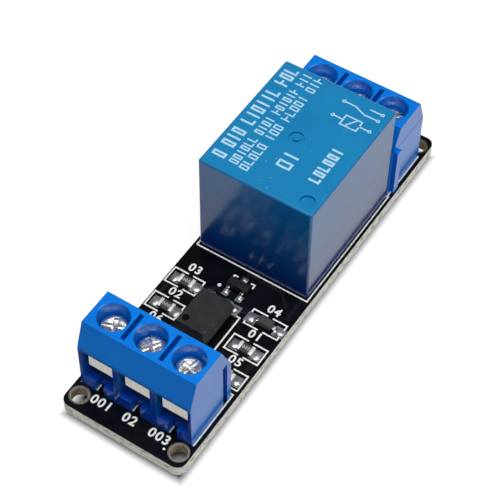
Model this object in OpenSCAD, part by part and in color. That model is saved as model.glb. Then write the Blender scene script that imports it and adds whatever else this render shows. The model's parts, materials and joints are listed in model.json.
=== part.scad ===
// Relay module board: a slim circuit board with a screw terminal block at each
// end, a sealed relay, and the surface-mounted parts that switch it.
// X runs across the board, Y from the input end to the output end, and Z up.
// The origin is the centre of the four mounting holes, on the board's underside.

/* [Board] */
// Width of the board
board_w = 16.8; // [16.6:0.1:20]
// Thickness of the board
board_t = 1.6; // [0.8:0.1:2.4]
// Radius of the board's corners
corner_r = 1.2; // [0.3:0.1:1.4]
// Diameter of a mounting hole
hole_d = 2.2; // [1.6:0.1:2.3]
// From a mounting hole's centre to the board's long edge
hole_inset_x = 1.5; // [1.3:0.1:3]
// From a mounting hole's centre to the board's short edge
hole_inset_y = 1.9; // [1.3:0.1:2]
// Length of a pin's trimmed tail under the board
tail = 1.4; // [0.8:0.1:3]

/* [Terminal blocks] */
// Distance between neighbouring terminals
pitch = 5.08; // [4.9:0.01:5.3]
// From a block's wire side to the end of the board
block_inset = 3.35; // [3.2:0.05:5]
// Depth of a block, from its wire side to its back
block_d = 8; // [7.8:0.1:8.2]
// Height of a block
block_h = 10.9; // [10:0.1:14]
// Height at which the wire side starts to lean back
knee_h = 7.4; // [7.2:0.1:8.2]
// How far the wire side leans back at the top
front_rake = 1.27; // [0.5:0.01:1.6]
// How far the back leans in at the top
back_rake = 1.83; // [0.8:0.01:2]
// Height at which the back starts to lean in
back_knee_h = 6.8; // [6:0.1:8]
// Width of a wire opening
opening_w = 4.3; // [4.1:0.05:4.5]
// Height of a wire opening's upper edge
opening_top = 6.9; // [6.6:0.1:7.1]
// Thickness of the wall outside the last wire opening
end_wall = 0.43; // [0.4:0.01:1]
// Height of the sill under a wire opening
sill_h = 1.8; // [1.4:0.1:2.2]
// Thickness of the sill
sill_t = 0.6; // [0.4:0.05:0.65]
// Width of the notch in the sill
notch_w = 1.2; // [0.6:0.1:2]
// Thickness of a block's floor
block_floor = 1.2; // [0.8:0.1:1.3]
// Diameter of a screw well
well_d = 3.8; // [3.6:0.1:4]
// From a block's wire side to the middle of the wells
well_y = 3.7; // [3.6:0.05:3.8]
// Width of the narrow slots between the wells
slot_w = 0.6; // [0.3:0.1:0.7]
// Length of the narrow slots
slot_l = 3.9; // [2:0.1:4.2]
// Depth of the narrow slots
slot_depth = 2.5; // [0.5:0.1:3]
// Width of the joining tongue where it leaves the block
key_neck = 0.7; // [0.5:0.05:0.9]
// Width of the joining tongue at its outer face
key_wide = 1.15; // [0.9:0.05:1.3]
// How far the joining tongue stands out
key_out = 0.55; // [0.4:0.05:0.6]
// Height of the joining tongue
key_h = 7.5; // [5:0.1:8]
// From the joining tongue's middle to the block's back
key_from_back = 1.2; // [0.9:0.05:1.3]
// Room round the tongue in the next block's groove
key_clear = 0.06; // [0.02:0.01:0.1]

/* [Clamps and screws] */
// Width of a clamp cage
clamp_w = 3.7; // [3.5:0.05:3.9]
// Depth of a clamp cage
clamp_d = 3.9; // [3.8:0.05:4]
// Thickness of a clamp cage's sides and floor
clamp_t = 0.5; // [0.3:0.05:0.6]
// Thickness of the threaded plate on top of a clamp cage
nut_t = 1; // [0.8:0.1:1.2]
// Height of a clamp cage's top above the board
clamp_top = 6.1; // [5.9:0.05:6.3]
// Diameter of a screw's thread
screw_d = 2.4; // [2:0.05:2.5]
// Diameter of a screw's head
head_d = 3.4; // [3:0.05:3.5]
// Height of a screw's head
head_h = 1.2; // [0.9:0.1:1.5]
// Width of the slots in a screw's head
drive_w = 0.55; // [0.4:0.05:0.8]
// Rise of the thread in one turn
thread_rise = 0.45; // [0.35:0.05:0.5]
// Turns from open to closed
screw_turns = 4; // [2:1:4]
// Thickness of a wire guard's sheet
guard_t = 0.25; // [0.15:0.05:0.3]
// Width of a wire guard's front flap
flap_w = 3.6; // [3:0.05:3.8]
// From the wire side to a wire guard's front flap
flap_y = 0.75; // [0.7:0.05:1]
// How far the flap hangs below the guard's leaf
flap_drop = 1.05; // [0.5:0.05:1.1]
// How far the flap stands above the guard's leaf
flap_rise = 1.4; // [0.6:0.05:1.6]
// Width of a clamp's pin
pin_w = 1; // [0.6:0.1:1.1]
// Thickness of a clamp's pin
pin_t = 0.8; // [0.5:0.1:1]
// Diameter of the board's hole for a clamp's pin
pin_hole_d = 1.5; // [1.5:0.1:1.8]

/* [Relay] */
// Width of the relay's cover
relay_w = 15.5; // [15.2:0.1:16.4]
// Length of the relay's cover
relay_l = 19.2; // [18.6:0.1:19.4]
// Height of the relay's cover
relay_h = 15.6; // [13:0.1:20]
// Height of the feet under the relay
standoff = 0.2; // [0.1:0.1:0.6]
// Gap between the relay and the output terminal block
relay_gap = 0.15; // [0.1:0.05:0.5]
// Thickness of the relay's cover
cover_t = 0.9; // [0.6:0.1:1]
// Radius of the relay cover's outer edges
cover_r = 0.3; // [0.2:0.1:0.8]
// Thickness of the relay's base
base_t = 1.6; // [1:0.1:2.2]
// From the relay's input end to its common pin
common_y = 1.3; // [1.3:0.05:1.5]
// From the relay's input end to its coil pins
coil_pin_y = 3.25; // [3.2:0.05:3.4]
// From the relay's side to the middle of a coil pin
coil_pin_inset = 1.8; // [1.55:0.05:2.05]
// From the relay's output end to its contact pins
contact_from_end = 3.75; // [3:0.05:4]
// From the relay's side to the middle of a contact pin
contact_pin_inset = 1.75; // [1.55:0.05:2.25]
// Thickness of the yoke's steel
yoke_t = 1.2; // [0.8:0.1:1.5]
// Thickness of the armature
armature_t = 1; // [0.7:0.1:1.3]
// Air gap between the core's pole and the released armature
armature_gap = 0.45; // [0.35:0.05:0.6]
// Degrees that the armature turns when the coil pulls it
armature_angle = 3.2; // [1.5:0.1:3.2]
// Diameter of the core's shank
core_d = 3.4; // [2.5:0.1:4]
// Diameter of the core's pole
pole_d = 5.5; // [4.5:0.1:6]
// Thickness of the core's pole
pole_t = 0.5; // [0.3:0.1:1]
// Thickness of the bobbin's flanges
flange_t = 0.8; // [0.5:0.1:1.2]
// Thickness of the bobbin's barrel
barrel_t = 0.5; // [0.3:0.1:0.8]
// Thickness of the contact blades
blade_t = 0.25; // [0.15:0.05:0.35]
// Width of the moving contact's blade
blade_w = 3; // [2:0.1:4]
// Diameter of a contact's head
contact_d = 1.8; // [1.2:0.1:2.4]
// Thickness of a contact's head
contact_t = 0.25; // [0.2:0.05:0.35]
// Diameter of the board's holes for the relay's pins
relay_hole_d = 1.3; // [1.2:0.1:1.6]
// Width of the relay's contact pins
relay_pin_w = 1; // [0.6:0.1:1.1]
// Thickness of the relay's pins
relay_pin_t = 0.5; // [0.4:0.05:0.5]

/* [Surface-mounted parts] */
// Room for the small parts between the input terminal block and the relay
parts_l = 16.35; // [15.6:0.05:22]
// From the relay to the first row of parts
first_row = 5.9; // [5.6:0.1:6.2]
// From the last row of parts to the input terminal block
last_row = 1.95; // [1.8:0.05:2.4]
// From the board's left edge to the middle of the left column of parts
left_column_inset = 2.7; // [2.4:0.05:2.8]
// From the board's right edge to the middle of the right column of parts
right_column_inset = 2.75; // [2.6:0.05:3]
// Length of a resistor or a lamp chip
chip_l = 2; // [1.6:0.1:2.4]
// Width of a resistor or a lamp chip
chip_w = 1.25; // [0.8:0.05:1.5]
// Height of a resistor
chip_h = 0.55; // [0.4:0.05:0.8]
// Length of a chip's metal end
cap_l = 0.4; // [0.2:0.05:0.5]
// Thickness of a chip's metal end
cap_t = 0.05; // [0.03:0.01:0.08]
// Height of a lamp chip
lamp_h = 0.8; // [0.6:0.05:1.1]
// Width of the optocoupler
coupler_w = 4.58; // [4:0.02:5]
// Length of the optocoupler
coupler_l = 6.5; // [6:0.1:6.8]
// Height of the optocoupler
coupler_h = 3.4; // [2.5:0.1:3.6]
// From the middle line to the middle of the optocoupler, to the left
coupler_left = 0.35; // [0:0.05:0.5]
// Distance between the optocoupler's neighbouring leads
coupler_pitch = 2.54; // [2.4:0.01:2.6]
// From the relay to the transistor's middle
transistor_y = 3.1; // [2.9:0.1:3.2]
// Length of the transistor
transistor_l = 2.9; // [2.7:0.1:3.1]
// Width of the transistor
transistor_w = 1.3; // [1.2:0.1:1.4]
// Height of the transistor
transistor_h = 1; // [0.8:0.1:1.2]
// Length of the diode's body
diode_l = 1.9; // [1.6:0.1:2.7]
// Width of the diode's body
diode_w = 1.25; // [1:0.05:1.7]
// Height of the diode's body
diode_h = 0.95; // [0.7:0.05:1.2]
// How far solder runs out on a pad
solder_run = 0.5; // [0.3:0.05:0.6]
// Height of a solder joint round a pin under the board
joint_h = 0.9; // [0.5:0.1:1.1]

/* [Hidden] */
$fn = 48;
SIDES = ["input", "output"];
POSITIONS = [1, 2, 3];
// Overrun of a cutting shape past the face that it cuts
over = 0.02;

// The board is as long as what stands on it, from hole to hole
board_l = 2 * (block_inset + block_d) + relay_gap + relay_l + parts_l;

// Terminal blocks. In a block's own frame Y runs from the wire side to the back,
// and Z starts at the board's upper face.
block_w = 2 * pitch + opening_w + 2 * end_wall;
top_d = block_d - front_rake - back_rake;
clamp_y = well_y - clamp_d / 2;
// Room round a clamp cage in its chamber, and the web that holds it in from the front
clamp_clear = 0.1;
front_web = 0.3;
cavity_end = clamp_y + clamp_d + clamp_clear;
// The chamber in front of the clamps, where the guards' flaps move
front_room = clamp_y - front_web;
clamp_r = 0.4;
screw_travel = thread_rise * screw_turns;
thread_clear = 0.05;
// The guard's leaf lies just under the threaded plate, with room at its sides
leaf_clear = 0.1;
leaf_drop = 0.2;
leaf_w = clamp_w - 2 * clamp_t - 2 * leaf_clear;
leaf_z = clamp_top - nut_t - leaf_drop - guard_t;
// The head stops just above the clamp cage when the screw is closed
head_clear = 0.1;
head_z = clamp_top + head_clear + screw_travel;
well_rim = 0.15;
// Turn of each screw's slots, input block first
SCREW_ANGLES = [[20, -35, 78], [50, -15, 8]];

// Relay. In the relay's own frame Y runs from its input end to its output end,
// and Z starts at the board's upper face.
relay_start = board_l / 2 - block_inset - block_d - relay_gap - relay_l;
base_clear = 0.1;
base_top = standoff + base_t;
contact_y = relay_l - contact_from_end;
strip_t = 0.3;
strip_w = 3;
yoke_y = common_y + strip_t / 2;
pivot_y = yoke_y + yoke_t;
coil_z = base_top + yoke_t;
// The contacts stack up to the cover's ceiling, and the coil takes the height left
ceiling_clear = 0.4;
ceiling_z = standoff + relay_h - cover_t;
closed_arm_z = ceiling_z - ceiling_clear - blade_t;
blade_z = closed_arm_z - 2 * contact_t - blade_t;
armature_z = blade_z - armature_t;
pole_z = armature_z - armature_gap;
coil_h = pole_z - pole_t - coil_z;
contact_travel = (contact_y - pivot_y) * tan(armature_angle);
contact_gap = 0.1;
open_contact_z = blade_z - contact_t - contact_travel - contact_gap - contact_t;
arm_w = 1.6;
post_t = 0.5;
wall_clear = 0.1;
// Room between the coil and the contacts, and between the coil and the cover's sides
contact_room = 1.5;
coil_side_room = 1.95;
flange_l = contact_y - arm_w - contact_room - pivot_y - wall_clear;
flange_w = relay_w - 2 * cover_t - 2 * coil_side_room;
core_y = pivot_y + wall_clear + flange_l / 2;
flange_rim = 0.4;
winding_d = min(flange_l, flange_w) - 2 * flange_rim;
yoke_inset = 0.2;
yoke_w = winding_d - 2 * yoke_inset;
barrel_d = core_d + 2 * barrel_t;
// Difference in diameter between the core and the barrel's bore, and the barrel and the coil
coil_fit = 0.1;
// How far the armature and the contact blade reach past what they meet
armature_lap = 0.4;
blade_lap = 0.2;
ear = 0.45;
// The pins keep their distance from the relay's sides
coil_pin_x = relay_w / 2 - coil_pin_inset;
contact_pin_x = relay_w / 2 - contact_pin_inset;
// How far a coil pin stands out of the bobbin, and how far the common strip ends under the pole
coil_stub = 1;
strip_drop = 1;
// Play between the contact rivet's shank and the blade's hole
rivet_play = 0.04;
// Each pin's place and section: [x, y, width, depth]
COMMON_PIN = [0, common_y, relay_pin_w, strip_t];
COIL_PINS = [for (side = [-1, 1]) [side * coil_pin_x, coil_pin_y, relay_pin_t, relay_pin_t]];
CONTACT_PINS = [for (side = [-1, 1]) [side * contact_pin_x, contact_y, relay_pin_t, relay_pin_w]];
RELAY_PINS = concat([COMMON_PIN], COIL_PINS, CONTACT_PINS);

// Surface-mounted parts
row_step = (parts_l - first_row - last_row) / 2;
left_column = board_w / 2 - left_column_inset;
right_column = board_w / 2 - right_column_inset;
function row_y(row) = relay_start - first_row - (row - 1) * row_step;
RESISTOR_PLACES = [[right_column, row_y(2)], [-left_column, row_y(2)], [-left_column, row_y(1)]];
LAMP_PLACES = [[right_column, row_y(3)], [-left_column, row_y(3)]];
DIODE_PLACE = [right_column, row_y(1)];
COUPLER_PLACE = [-coupler_left, row_y(2)];
TRANSISTOR_PLACE = [0, relay_start - transistor_y];
draft = 0.3;
coupler_lead_t = 0.25;
coupler_lead_w = 1;
coupler_lead_z = 1.75;
coupler_reach = 0.65;
coupler_foot = 0.55;
small_lead_t = 0.15;
small_lead_w = 0.45;
small_reach = 0.3;
small_foot = 0.35;
transistor_lead_x = 0.95;

// Width of the solder's ring round a hole, under the terminal blocks and the relay
clamp_pad = 0.4;
relay_pad = 0.35;

// ---- Shared shapes ----

// A rectangle with round corners, centred
module rounded_rectangle(w, l, r) {
  square([w - 2 * r, l], center = true);
  square([w, l - 2 * r], center = true);
  for (x = [-1, 1], y = [-1, 1])
    translate([x * (w / 2 - r), y * (l / 2 - r)])
      circle(r);
}

// A block with round upright edges and a round upper rim, standing on Z = 0
module rounded_cap(w, l, h, r) {
  x = w / 2 - r;
  y = l / 2 - r;
  linear_extrude(h - r)
    rounded_rectangle(w, l, r);
  translate([-x, -y, 0])
    cube([2 * x, 2 * y, h]);
  for (side = [-1, 1]) {
    translate([side * x, 0, h - r])
      rotate([90, 0, 0])
        cylinder(r = r, h = 2 * y, center = true);
    translate([0, side * y, h - r])
      rotate([0, 90, 0])
        cylinder(r = r, h = 2 * x, center = true);
    for (end = [-1, 1])
      translate([side * x, end * y, h - r])
        sphere(r);
  }
}

// A moulded body whose four sides lean in above and below a flat band
module moulded_body(w, l, h, band_z, band) {
  intersection() {
    rotate([90, 0, 0])
      linear_extrude(l + 1, center = true)
        moulded_section(w, h, band_z, band);
    rotate([90, 0, 90])
      linear_extrude(w + 1, center = true)
        moulded_section(l, h, band_z, band);
  }
}

module moulded_section(w, h, band_z, band) {
  low = w / 2 - draft * band_z;
  high = w / 2 - draft * (h - band_z - band);
  polygon([
    [-low, 0], [low, 0], [w / 2, band_z], [w / 2, band_z + band],
    [high, h], [-high, h], [-w / 2, band_z + band], [-w / 2, band_z]
  ]);
}

// A gull-wing lead that leaves a body along +Y at height z and ends in a foot
module gull_lead(z, w, t, reach, foot) {
  rotate([90, 0, 90])
    linear_extrude(w, center = true)
      polygon([
        [0, z], [reach - t, z], [reach, 0], [reach + foot, 0],
        [reach + foot, t], [reach + t, t], [reach, z + t], [0, z + t]
      ]);
}

// A wedge of solder that leans against a face at Y = 0
module solder_wedge(w, h) {
  rotate([90, 0, 90])
    linear_extrude(w, center = true)
      polygon([[0, 0], [solder_run, 0], [solder_run * 0.35, h * 0.4], [0, h]]);
}

// ---- Placing ----

// Puts a shape in a terminal block's own frame
module at_block(side) {
  turn = side == "output" ? 180 : 0;
  rotate([0, 0, turn])
    translate([0, block_inset - board_l / 2, board_t])
      children();
}

function terminal_x(position) = (position - 2) * pitch;

module at_terminal(side, position) {
  at_block(side)
    translate([terminal_x(position), 0, 0])
      children();
}

module at_relay() {
  translate([0, relay_start, board_t])
    children();
}

module at_place(place, turn = 0) {
  translate([place.x, place.y, board_t])
    rotate([0, 0, turn])
      children();
}

// ---- Board ----

module at_mounting_holes() {
  for (x = [-1, 1], y = [-1, 1])
    translate([x * (board_w / 2 - hole_inset_x), y * (board_l / 2 - hole_inset_y), 0])
      children();
}

module circuit_board() {
  color("#15171a")
    difference() {
      linear_extrude(board_t)
        rounded_rectangle(board_w, board_l, corner_r);
      at_mounting_holes()
        translate([0, 0, -over])
          cylinder(d = hole_d, h = board_t + 2 * over);
      for (side = SIDES, position = POSITIONS)
        at_terminal(side, position)
          translate([0, well_y, -board_t - over])
            cylinder(d = pin_hole_d, h = board_t + 2 * over);
      at_relay()
        for (place = RELAY_PINS)
          translate([place.x, place.y, -board_t - over])
            cylinder(d = relay_hole_d, h = board_t + 2 * over);
    }
}

// ---- Terminal blocks ----

// The block's section from wire side to back
module housing_section() {
  polygon([
    [0, 0], [0, knee_h], [front_rake, block_h], [front_rake + top_d, block_h],
    [block_d, back_knee_h], [block_d, 0]
  ]);
}

// The dovetail of the joining tongue, grown by a clearance for the groove
module key_section(grow) {
  polygon([
    [-over, -key_neck / 2 - grow], [key_out + grow, -key_wide / 2 - grow],
    [key_out + grow, key_wide / 2 + grow], [-over, key_neck / 2 + grow]
  ]);
}

module wire_chamber() {
  translate([-opening_w / 2, -over, sill_h])
    cube([opening_w, front_room + over, opening_top - sill_h]);
  translate([-opening_w / 2, sill_t, block_floor])
    cube([opening_w, cavity_end - sill_t, clamp_top - block_floor]);
  translate([-notch_w / 2, -over, -over])
    cube([notch_w, 2 * sill_t + over, sill_h + 2 * over]);
}

module screw_well() {
  translate([0, well_y, clamp_top - over])
    cylinder(d = well_d, h = block_h - clamp_top + 2 * over);
  translate([0, well_y, block_h - well_rim])
    cylinder(d1 = well_d, d2 = well_d + 2 * well_rim, h = well_rim + over);
}

module terminal_housing(side) {
  key_y = block_d - key_from_back;
  seam = 0.12;
  color("#0f6fd2")
    at_block(side)
      difference() {
        union() {
          rotate([90, 0, 90])
            linear_extrude(block_w, center = true)
              housing_section();
          translate([-block_w / 2, key_y, 0])
            mirror([1, 0, 0])
              linear_extrude(key_h)
                key_section(0);
        }
        for (position = POSITIONS)
          translate([terminal_x(position), 0, 0]) {
            wire_chamber();
            screw_well();
            pin_column([0, well_y, pin_w, pin_t], -over, block_floor + over);
          }
        for (x = [-pitch / 2, pitch / 2])
          translate([x - slot_w / 2, front_rake + (top_d - slot_l) / 2, block_h - slot_depth])
            cube([slot_w, slot_l, slot_depth + over]);
        // The groove that takes the next block's tongue
        translate([block_w / 2, key_y, -over])
          mirror([1, 0, 0])
            linear_extrude(key_h + key_clear + over)
              key_section(key_clear);
        // The mould's parting line on the tongue's side
        translate([-block_w / 2 - over, -over, key_h])
          cube([seam + over, key_y, seam]);
      }
}

module clamp_section() {
  cage_h = clamp_top - block_floor;
  translate([0, block_floor + cage_h / 2])
    difference() {
      rounded_rectangle(clamp_w, cage_h, clamp_r);
      translate([0, (clamp_t - nut_t) / 2])
        square([clamp_w - 2 * clamp_t, cage_h - clamp_t - nut_t], center = true);
    }
}

// The cage that a screw pulls tight, with the pin that is soldered to the board
module clamp(side, position) {
  color("#c9b98f")
    at_terminal(side, position)
      difference() {
        union() {
          translate([0, clamp_y + clamp_d, 0])
            rotate([90, 0, 0])
              linear_extrude(clamp_d)
                clamp_section();
          pin_column([0, well_y, pin_w, pin_t], -board_t - tail, block_floor + clamp_t / 2);
        }
        translate([0, well_y, clamp_top - nut_t - over])
          cylinder(d = screw_d + 2 * thread_clear, h = nut_t + 2 * over);
      }
}

// The folded sheet between a screw's tip and the wire, with its front flap
module wire_guard(side, position) {
  color("#d8d5cc")
    at_terminal(side, position)
      union() {
        translate([-flap_w / 2, flap_y, leaf_z - flap_drop])
          cube([flap_w, guard_t, flap_drop + guard_t + flap_rise]);
        translate([-leaf_w / 2, flap_y, leaf_z])
          cube([leaf_w, well_y + screw_d / 2 - flap_y, guard_t]);
      }
}

module screw_head_section() {
  r = head_d / 2;
  polygon([
    [0, 0], [r, 0], [r, head_h * 0.65], [r * 0.93, head_h * 0.85],
    [r * 0.75, head_h * 0.96], [0, head_h]
  ]);
}

// A terminal screw, whose head takes a flat or a cross driver
module terminal_screw(side, position) {
  turn = SCREW_ANGLES[side == "output" ? 1 : 0][position - 1];
  color("#d4d4d6")
    at_terminal(side, position)
      translate([0, well_y, 0])
        rotate([0, 0, turn])
          difference() {
            union() {
              translate([0, 0, leaf_z + guard_t])
                cylinder(d = screw_d, h = head_z - leaf_z - guard_t + over);
              translate([0, 0, head_z])
                rotate_extrude()
                  screw_head_section();
            }
            translate([0, 0, head_z + head_h / 2]) {
              translate([-head_d / 2 - over, -drive_w / 2, 0])
                cube([head_d + 2 * over, drive_w, head_h]);
              translate([-drive_w / 2, -head_d / 3, 0])
                cube([drive_w, head_d * 2 / 3, head_h]);
            }
          }
}

// ---- Relay ----

// An upright bar over a pin's place, given as [x, y, width, depth]
module pin_column(place, low, high) {
  translate([place[0] - place[2] / 2, place[1] - place[3] / 2, low])
    cube([place[2], place[3], high - low]);
}

module relay_cover() {
  mark_d = 1.9;
  mark_depth = 0.3;
  mark_inset = 1.6;
  gate_d = 1.9;
  gate_stub = 0.9;
  gate_depth = 0.25;
  gate_back = 0.45;
  gate_y = relay_l / 2 - gate_back;
  color("#2f86c4")
    at_relay()
      difference() {
        translate([0, relay_l / 2, standoff])
          rounded_cap(relay_w, relay_l, relay_h, cover_r);
        translate([-relay_w / 2 + cover_t, cover_t, standoff - over])
          cube([relay_w - 2 * cover_t, relay_l - 2 * cover_t, relay_h - cover_t + over]);
        // The blind mark near the input end
        translate([relay_w / 2 - mark_inset, mark_inset, standoff + relay_h - mark_depth])
          cylinder(d = mark_d, h = mark_depth + over);
        // The dimple round the stub that the mould's gate left
        translate([0, gate_y, standoff + relay_h - gate_depth])
          difference() {
            cylinder(d = gate_d, h = gate_depth + over);
            translate([0, 0, -over])
              cylinder(d = gate_stub, h = gate_depth);
          }
      }
}

module relay_base() {
  w = relay_w - 2 * cover_t - 2 * base_clear;
  l = relay_l - 2 * cover_t - 2 * base_clear;
  foot = 1.2;
  color("#22252a")
    at_relay()
      difference() {
        union() {
          translate([-w / 2, cover_t + base_clear, standoff])
            cube([w, l, base_t]);
          for (x = [-w / 2, w / 2 - foot], y = [0, l - foot])
            translate([x, y + cover_t + base_clear, 0])
              cube([foot, foot, standoff + over]);
        }
        for (place = RELAY_PINS)
          pin_column(place, -over, base_top + over);
      }
}

module relay_bobbin() {
  ear_x = coil_pin_x + relay_pin_t / 2 + ear;
  ear_y = coil_pin_y + relay_pin_t / 2 + ear;
  flange_y = pivot_y + wall_clear;
  color("#e8e4da")
    at_relay()
      difference() {
        union() {
          for (z = [coil_z, coil_z + coil_h - flange_t])
            translate([-flange_w / 2, flange_y, z])
              cube([flange_w, flange_l, flange_t]);
          translate([-ear_x, flange_y, coil_z])
            cube([2 * ear_x, ear_y - flange_y, flange_t]);
          translate([0, core_y, coil_z])
            cylinder(d = barrel_d, h = coil_h);
        }
        translate([0, core_y, coil_z - over])
          cylinder(d = core_d + coil_fit, h = coil_h + 2 * over);
        for (place = COIL_PINS)
          pin_column(place, coil_z - over, coil_z + flange_t + over);
      }
}

module relay_winding() {
  color("#b5562b")
    at_relay()
      translate([0, core_y, coil_z + flange_t])
        difference() {
          cylinder(d = winding_d, h = coil_h - 2 * flange_t);
          translate([0, 0, -over])
            cylinder(d = barrel_d + coil_fit, h = coil_h - 2 * flange_t + 2 * over);
        }
}

module relay_core() {
  color("#9a9da1")
    at_relay()
      translate([0, core_y, 0]) {
        translate([0, 0, coil_z])
          cylinder(d = core_d, h = coil_h + over);
        translate([0, 0, pole_z - pole_t])
          cylinder(d = pole_d, h = pole_t);
      }
}

// The angle of steel that carries the core's foot and the armature's heel
module relay_yoke() {
  color("#a7a9ac")
    at_relay() {
      translate([-yoke_w / 2, yoke_y, base_top])
        cube([yoke_w, yoke_t, armature_z - base_top]);
      translate([-yoke_w / 2, yoke_y, base_top])
        cube([yoke_w, core_y + pole_d / 2 - yoke_y, yoke_t]);
    }
}

module relay_armature() {
  color("#b4b6b8")
    at_relay()
      translate([-yoke_w / 2, yoke_y, armature_z])
        cube([yoke_w, core_y + pole_d / 2 + armature_lap - yoke_y, armature_t]);
}

module relay_contact_blade() {
  blade_l = contact_y + contact_d / 2 + blade_lap - yoke_y;
  color("#c58a45")
    at_relay()
      difference() {
        translate([-blade_w / 2, yoke_y, blade_z])
          cube([blade_w, blade_l, blade_t]);
        translate([0, contact_y, blade_z - over])
          cylinder(d = contact_d / 2, h = blade_t + 2 * over);
      }
}

// The rivet whose two heads meet the fixed contacts
module relay_moving_contact() {
  color("#d9dadc")
    at_relay()
      translate([0, contact_y, 0]) {
        translate([0, 0, blade_z - contact_t])
          cylinder(d = contact_d, h = contact_t);
        translate([0, 0, blade_z - over])
          cylinder(d = contact_d / 2 - rivet_play, h = blade_t + 2 * over);
        translate([0, 0, blade_z + blade_t])
          cylinder(d = contact_d, h = contact_t);
      }
}

module relay_fixed_contacts() {
  color("#d9dadc")
    at_relay()
      for (z = [open_contact_z, blade_z + blade_t + contact_t])
        translate([0, contact_y, z])
          cylinder(d = contact_d, h = contact_t);
}

// A pin that rises beside the coil and reaches over to the middle at height z
module contact_terminal(side, z) {
  place = [side * contact_pin_x, contact_y, relay_pin_t, relay_pin_w];
  reach = contact_pin_x + relay_pin_t / 2 + contact_d / 2;
  at_relay() {
    pin_column(place, -board_t - tail, z + blade_t);
    translate([side > 0 ? -contact_d / 2 : -contact_pin_x - relay_pin_t / 2, contact_y - arm_w / 2, z])
      cube([reach, arm_w, blade_t]);
  }
}

module relay_open_terminal() {
  color("#c9b98f")
    contact_terminal(-1, open_contact_z - blade_t);
}

module relay_closed_terminal() {
  color("#c9b98f")
    contact_terminal(1, closed_arm_z);
}

// The common pin, with the strip that lies against the yoke
module relay_common_terminal() {
  color("#c9b98f")
    at_relay() {
      pin_column(COMMON_PIN, -board_t - tail, base_top + over);
      translate([-strip_w / 2, common_y - strip_t / 2, base_top])
        cube([strip_w, strip_t, pole_z - base_top - strip_drop]);
    }
}

module relay_coil_pins() {
  color("#c9b98f")
    at_relay()
      for (place = COIL_PINS)
        pin_column(place, -board_t - tail, coil_z + flange_t + coil_stub);
}

// ---- Surface-mounted parts ----

// A chip's body, with room at each end for its metal end
module chip_body(h) {
  translate([cap_t - chip_l / 2, -chip_w / 2, cap_t])
    cube([chip_l - 2 * cap_t, chip_w, h - 2 * cap_t]);
}

module chip_ends(h) {
  difference() {
    for (end = [-1, 1])
      translate([end * (chip_l - cap_l) / 2 - cap_l / 2, -chip_w / 2, 0])
        cube([cap_l, chip_w, h]);
    chip_body(h);
  }
}

module resistor(number) {
  color("#26282b")
    at_place(RESISTOR_PLACES[number - 1])
      chip_body(chip_h);
}

module resistor_end_caps() {
  color("#cfd0d2")
    for (place = RESISTOR_PLACES)
      at_place(place)
        chip_ends(chip_h);
}

// A lamp chip: a thin base with its lens between the metal ends
module lamp(number) {
  base = lamp_h * 0.4;
  color("#f1f0e4")
    at_place(LAMP_PLACES[number - 1]) {
      chip_body(base);
      translate([cap_l - chip_l / 2, -chip_w / 2, base - cap_t - over])
        cube([chip_l - 2 * cap_l, chip_w, lamp_h - base + cap_t + over]);
    }
}

module lamp_end_caps() {
  color("#cfd0d2")
    for (place = LAMP_PLACES)
      at_place(place)
        chip_ends(lamp_h * 0.4);
}

module optocoupler_body() {
  dot_d = 0.9;
  dot_depth = 0.3;
  dot_inset_x = 1.15;
  dot_inset_y = 1.35;
  body_z = 0.1;
  color("#2b2c2e")
    at_place(COUPLER_PLACE)
      difference() {
        translate([0, 0, body_z])
          moulded_body(
            coupler_w, coupler_l, coupler_h - body_z, coupler_lead_z - body_z, coupler_lead_t
          );
        translate([dot_inset_x - coupler_w / 2, dot_inset_y - coupler_l / 2, coupler_h - dot_depth])
          cylinder(d = dot_d, h = dot_depth + over);
      }
}

module optocoupler_leads() {
  color("#cfd0d2")
    for (turn = [0, 180], x = [-1, 1])
      at_place(COUPLER_PLACE, turn)
        translate([x * coupler_pitch / 2, coupler_l / 2, 0])
          gull_lead(coupler_lead_z, coupler_lead_w, coupler_lead_t, coupler_reach, coupler_foot);
}

module transistor_body() {
  color("#1d1e20")
    at_place(TRANSISTOR_PLACE)
      moulded_body(transistor_l, transistor_w, transistor_h, transistor_h * 0.45, small_lead_t);
}

module transistor_leads() {
  color("#cfd0d2")
    for (lead = [[-transistor_lead_x, 180], [transistor_lead_x, 180], [0, 0]])
      at_place(TRANSISTOR_PLACE, lead[1])
        translate([lead[0], transistor_w / 2, 0])
          gull_lead(transistor_h * 0.45, small_lead_w, small_lead_t, small_reach, small_foot);
}

module diode_body() {
  color("#3a3b3d")
    at_place(DIODE_PLACE)
      moulded_body(diode_l, diode_w, diode_h, diode_h * 0.4, small_lead_t);
}

module diode_leads() {
  color("#cfd0d2")
    for (turn = [-90, 90])
      at_place(DIODE_PLACE, turn)
        translate([0, diode_l / 2, 0])
          gull_lead(diode_h * 0.4, small_lead_w * 1.4, small_lead_t, small_reach, small_foot);
}

// The solder that runs up each metal end on the board's upper face
module surface_solder() {
  color("#dcdcdc")
    for (place = concat(RESISTOR_PLACES, LAMP_PLACES), turn = [-90, 90])
      at_place(place, turn)
        translate([0, chip_l / 2, 0])
          solder_wedge(chip_w, lamp_h * 0.4);
}

// ---- Solder under the board ----

// A hollow cone of solder under the board that grips a pin
module pin_joint(place, r) {
  steps = 5;
  tip = norm([place[2], place[3]]) / 2 + 0.02;
  translate([place[0], place[1], -board_t])
    difference() {
      rotate_extrude()
        polygon(concat(
          [[0, 0]],
          [for (i = [0:steps]) [tip + (r - tip) * pow(1 - i / steps, 2), -joint_h * i / steps]],
          [[0, -joint_h]]
        ));
      translate([-place[2] / 2, -place[3] / 2, -joint_h - over])
        cube([place[2], place[3], joint_h + 2 * over]);
    }
}

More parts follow.
